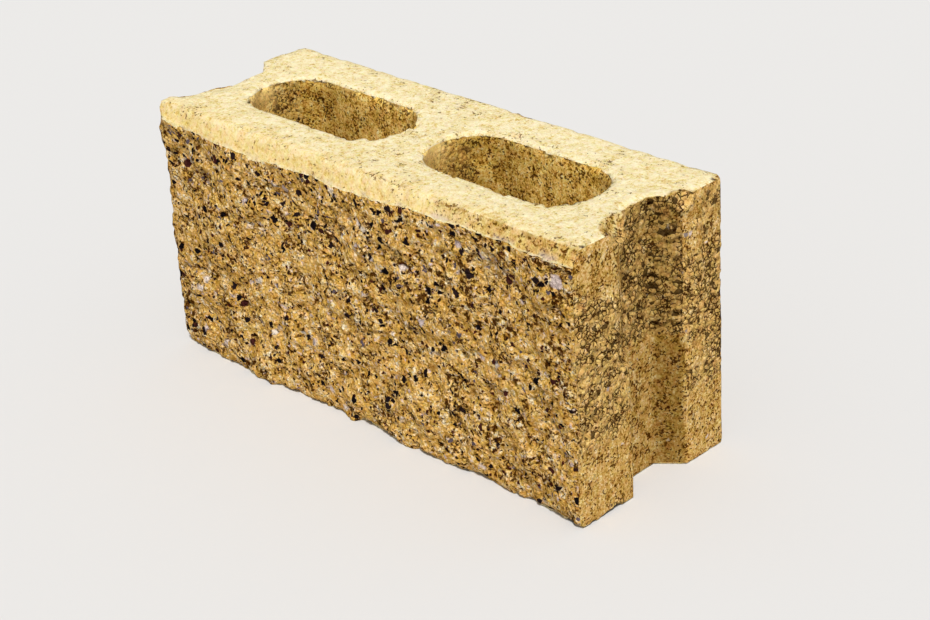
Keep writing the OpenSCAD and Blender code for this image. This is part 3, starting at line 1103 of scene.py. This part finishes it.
def split_concrete():
    """Yellow concrete broken open: torn sandy paste with cut black, brown and white stones."""
    # Nothing has smoothed it, so the eye sees rough matt sand in all its tones, with painted shade
    # darkening its pores, grain gaps and hollows, and black, red-brown and whitish stones strewn over it,
    # more of them near the top.
    material, node = start_material("split_pigmented_concrete")
    place = node("TexCoord", {}, "Object")
    crevice_shade, stony = readings(node, "crevice_shade", "stony")
    torn = wobbled(node, place, size=3.5, amount=1.0)
    grit = soft_noise(node, torn, 8, detail=5.0, roughness=0.8)
    # Most of the sand is too fine to show in the render, so its grains are drawn 1.5 mm wide
    tone = sandy(node, grit, torn, size=1.5, shift=0.3, swing=0.2)
    colour = ramp(node, tone, [
        (0.28, "#AC7826"), (0.39, "#D09E44"), (0.49, "#E8B65E"), (0.59, "#FCD28A"), (0.69, "#FFF0CC"),
    ])
    pale_tints = ("#F4DAC4", "#EED2C2", "#E4CCC4", "#F4E0C8")
    colour = stones(node, colour, torn, pale_tints, size=2.4, share=0.06, shift=3.1, soft=0.3)

    patch = soft_noise(node, place, 12)
    more = times_plus(node, patch, 0.45, -0.24)
    more = times_plus(node, crevice_shade, 0.07, more)
    less = node("Math", {0: more, 1: 0.02}, operation="SUBTRACT")
    big = pores(node, torn, size=4.0, more=less)
    small = pores(node, place, size=1.9, more=more)
    gap, grain = gaps(node, torn, size=2.4, lost=0.03, shift=0.6)
    # Painted shade: the grain gaps, the pores and the crevices are darkened in the colour
    colour = tinted(
        node, colour, (gap, 0.15, "#6A3A06"), (small, 0.85, "#461C00"), (big, 0.9, "#401A00"),
        (crevice_shade, 0.35, "#6A3C08"),
    )

    black_share = times_plus(node, stony, 0.05, 0.034)
    for size, share, shift, soft, tints in (
        (2.2, 0.10, 0.9, 0.12, ("#3C2412", "#2A1814", "#4A2018")),
        (3.0, black_share, 1.3, 0.08, ("#1B1416", "#241A1A", "#3A201C", "#191416", "#6A5C62")),
        (4.6, black_share, 1.7, 0.07, ("#1B1416", "#2A1E1E", "#181315", "#4A2620", "#20181A")),
        (5.4, 0.03, 2.1, 0.30, ("#F2DECE", "#E8D2C8", "#DECCC8", "#F4E4D0")),
    ):
        colour = stones(node, colour, torn, tints, size, share, shift, soft)
    for placed, soft, tint in (
        (DARK_STONES, 0.5, "#1B1416"), (RED_STONES, 0.8, "#4A2420"), (PALE_STONES, 1.2, "#E4CCC2"),
    ):
        colour = placed_stones(node, colour, torn, placed, seen=(1, 0, 1), soft=soft, tint=tint)

    knob = soft_noise(node, torn, 11)
    height = times_plus(node, knob, 4.5, grain)
    height = times_plus(node, tone, 1.6, height)
    height = pitted(node, height, (big, 0.7), (small, 0.35))
    finish(node, place, colour, swing=0.05, height=height, depth=2.4)
    return material


def moulded_concrete(name, tones, stone_share):
    """Yellow concrete against the mould: smooth paste with pits, open and crumbly where less pressed."""
    # The mould leaves a thin skin of paste, faintly streaked upright where the block slid out of it.
    # Where there was too little paste the eye sees single crumbs, with thin gaps between them darkened
    # by painted shade.
    material, node = start_material(name)
    place = node("TexCoord", {}, "Object")
    opened, crevice_shade, damp_and_shade, dust_and_light = readings(node, "open", "crevice_shade", "damp_and_shade", "dust_and_light")
    loose = wobbled(node, place, size=5.0, amount=1.0)
    upright = node("Mapping", {"Vector": place, "Scale": (1.0, 1.0, 0.6)})
    grit = soft_noise(node, upright, 6, detail=5.0, roughness=0.85)
    # The sand in the skin is too fine to show in the render, so its grains are drawn 1.1 mm wide
    tone = sandy(node, grit, place, size=1.1, shift=0.3, swing=0.22)
    colour = ramp(node, tone, list(zip((0.32, 0.41, 0.52, 0.64, 0.74), tones)))
    pale = ramp(node, opened, [(0.2, 0.0), (0.9, 0.25)])
    colour = mixed(node, colour, "#F6CC80", pale)

    patch = soft_noise(node, place, 9)
    cluster = times_plus(node, patch, 0.5, -0.245)
    more_small = times_plus(node, opened, -0.01, cluster)
    loosened = times_plus(node, opened, 0.05, -0.15)
    more_big = times_plus(node, crevice_shade, 0.1, loosened)
    small = pores(node, place, size=1.8, more=more_small)
    big = pores(node, place, size=3.4, more=more_big)
    gap, grain = gaps(node, loose, size=3.6, lost=0.05, shift=0.4)
    gap_share = ramp(node, opened, [(0.2, 0.0), (0.8, 0.9)])
    gap = node("Math", {0: gap, 1: gap_share}, operation="MULTIPLY")
    # Painted shade: the pores, the gaps between crumbs and the crevices are darkened in the colour
    colour = tinted(
        node, colour, (small, 0.9, "#4A2400"), (gap, 0.95, "#261000"), (big, 0.85, "#341600"),
        (crevice_shade, 0.12, "#4A2400"),
    )
    grey_tints = ("#8A7C74", "#DCC7B8", "#A89C96")
    colour = stones(node, colour, loose, grey_tints, size=3.2, share=stone_share, shift=1.7, soft=0.2)
    # Dust on the core rims, and painted light on the upper left end of each core
    colour = tinted(node, colour, (dust_and_light, 0.85, "#FCD88A"))
    # Painted shade: the film darkens the groove and the cores, the cores most at their left end
    film = ramp(node, damp_and_shade, [(0.0, 0.0), (1.0, 0.72)])
    colour = mixed(node, colour, "#7E6E00", film, blend_type="MULTIPLY")

    swell = times_plus(node, opened, 1.4, 0.1)
    height = times_plus(node, grain, swell, tone)
    height = pitted(node, height, (big, 0.8), (small, 0.5))
    finish(node, place, colour, swing=0.05, height=height, depth=1.2)
    return material


def bed_concrete():
    """Yellow concrete under the tamper: pale fine flaky paste, pitted in patches, gritty along its edges."""
    # Tamping brings fine paste to the top, so the eye sees a pale cream with faint flakes and clouds,
    # a few pin holes, and the darker sand only where the edges are worn.
    material, node = start_material("tamped_pigmented_concrete")
    place = node("TexCoord", {}, "Object")
    opened, crevice_shade, damp_and_shade, dust_and_light = readings(node, "open", "crevice_shade", "damp_and_shade", "dust_and_light")
    flake = soft_noise(node, place, 5, detail=5.0, roughness=0.85)
    # The paste is too fine to show its grains in the render, so they are drawn 1.2 mm wide
    tone = sandy(node, flake, place, size=1.2, shift=0.3, swing=0.12)
    cloud = soft_noise(node, place, 13, detail=4.0)
    colour = ramp(node, tone, [
        (0.33, "#D0AC5C"), (0.40, "#ECD48C"), (0.46, "#F6E2AA"), (0.60, "#FFF2CA"),
    ])
    yellow = ramp(node, cloud, [(0.48, 0.0), (0.72, 0.4)])
    colour = mixed(node, colour, "#E2C67C", yellow)
    rough = ramp(node, tone, [
        (0.32, "#86601C"), (0.41, "#BE9648"), (0.50, "#DAB870"), (0.66, "#F2DAA2"),
    ])
    worn = ramp(node, opened, [(0.45, 0.0), (0.65, 0.35), (1.0, 1.0)])
    colour = mixed(node, colour, rough, worn)

    cluster = times_plus(node, cloud, 0.5, -0.345)
    more_small = times_plus(node, opened, 0.11, cluster)
    more_big = times_plus(node, opened, 0.17, -0.15)
    small = pores(node, place, size=2.2, more=more_small)
    big = pores(node, place, size=3.2, more=more_big)
    # Painted shade: the pores and the crevices between crumbs are darkened in the colour
    colour = tinted(node, colour, (small, 0.8, "#7E5210"), (big, 0.85, "#5E3804"), (crevice_shade, 0.5, "#7A5214"))
    colour = mixed(node, colour, "#F8E6B8", damp_and_shade, blend_type="MULTIPLY")
    film = ramp(node, dust_and_light, [(0.0, 0.0), (1.0, 0.6)])
    colour = mixed(node, colour, "#D0BEB6", film)
    torn = wobbled(node, place, size=3.0, amount=0.6)
    colour = placed_stones(node, colour, torn, EDGE_STONES, seen=(1, 1, 0), soft=2.2, tint="#3A2A30")

    height = times_plus(node, tone, 1.6, cloud)
    height = pitted(node, height, (big, 0.8), (small, 0.5))
    finish(node, place, colour, swing=0.07, height=height, depth=1.2)
    return material


def floor_paint():
    """Matt studio floor: pale even paint, on which the eye sees only the block's shadow."""
    material, node = start_material("pale_matt_floor")
    shader = node("BsdfDiffuse", {"Color": "#D6D4D1"})
    node("OutputMaterial", {"Surface": shader}, None)
    return material


# Stage

def stage():
    """Floor far wider than the block, a soft sky and one soft sun from the front right."""
    mesh = bpy.data.meshes.new("floor")
    corners = [(x * FLOOR_REACH, y * FLOOR_REACH, 0) for x, y in ((-1, -1), (1, -1), (1, 1), (-1, 1))]
    mesh.from_pydata(corners, [], [(0, 1, 2, 3)])
    mesh.materials.append(floor_paint())
    floor = bpy.data.objects.new("floor", mesh)
    bpy.context.scene.collection.objects.link(floor)

    world = bpy.data.worlds.new("soft_sky")
    world.use_nodes = True
    sky = world.node_tree.nodes["Background"].inputs
    sky["Color"].default_value = linear(SKY_COLOUR)
    sky["Strength"].default_value = SKY_STRENGTH
    bpy.context.scene.world = world

    lamp = bpy.data.lights.new("key", "SUN")
    lamp.energy = SUN_STRENGTH
    lamp.angle = math.radians(SUN_WIDTH)
    holder = bpy.data.objects.new("key", lamp)
    holder.rotation_euler = Vector(SUN_DIRECTION).to_track_quat("-Z", "Y").to_euler()
    bpy.context.scene.collection.objects.link(holder)


def camera():
    """Camera at the photograph's place, worked out from the block's corners in it."""
    lens = bpy.data.cameras.new("camera")
    lens.sensor_width = SENSOR
    lens.lens = LENS
    lens.clip_end = VIEW_REACH
    holder = bpy.data.objects.new("camera", lens)
    look = (Vector(AIM) - Vector(EYE)).to_track_quat("-Z", "Y").to_matrix().to_4x4()
    holder.matrix_world = look @ Matrix.Rotation(math.radians(ROLL), 4, "Z")
    holder.location = EYE
    bpy.context.scene.collection.objects.link(holder)
    bpy.context.scene.camera = holder


camera()
stage()
block = concrete_block([
    split_concrete(),
    moulded_concrete("moulded_pigmented_concrete", WALL_TONES, stone_share=0.006),
    bed_concrete(),
    # The cores use the wall concrete with paler tones: painted light against the shade inside them
    moulded_concrete("cored_pigmented_concrete", CORE_LIT_TONES, stone_share=0.0),
])
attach(block, "root")
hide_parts(NODE)
bpy.context.scene.view_settings.view_transform = "Standard"
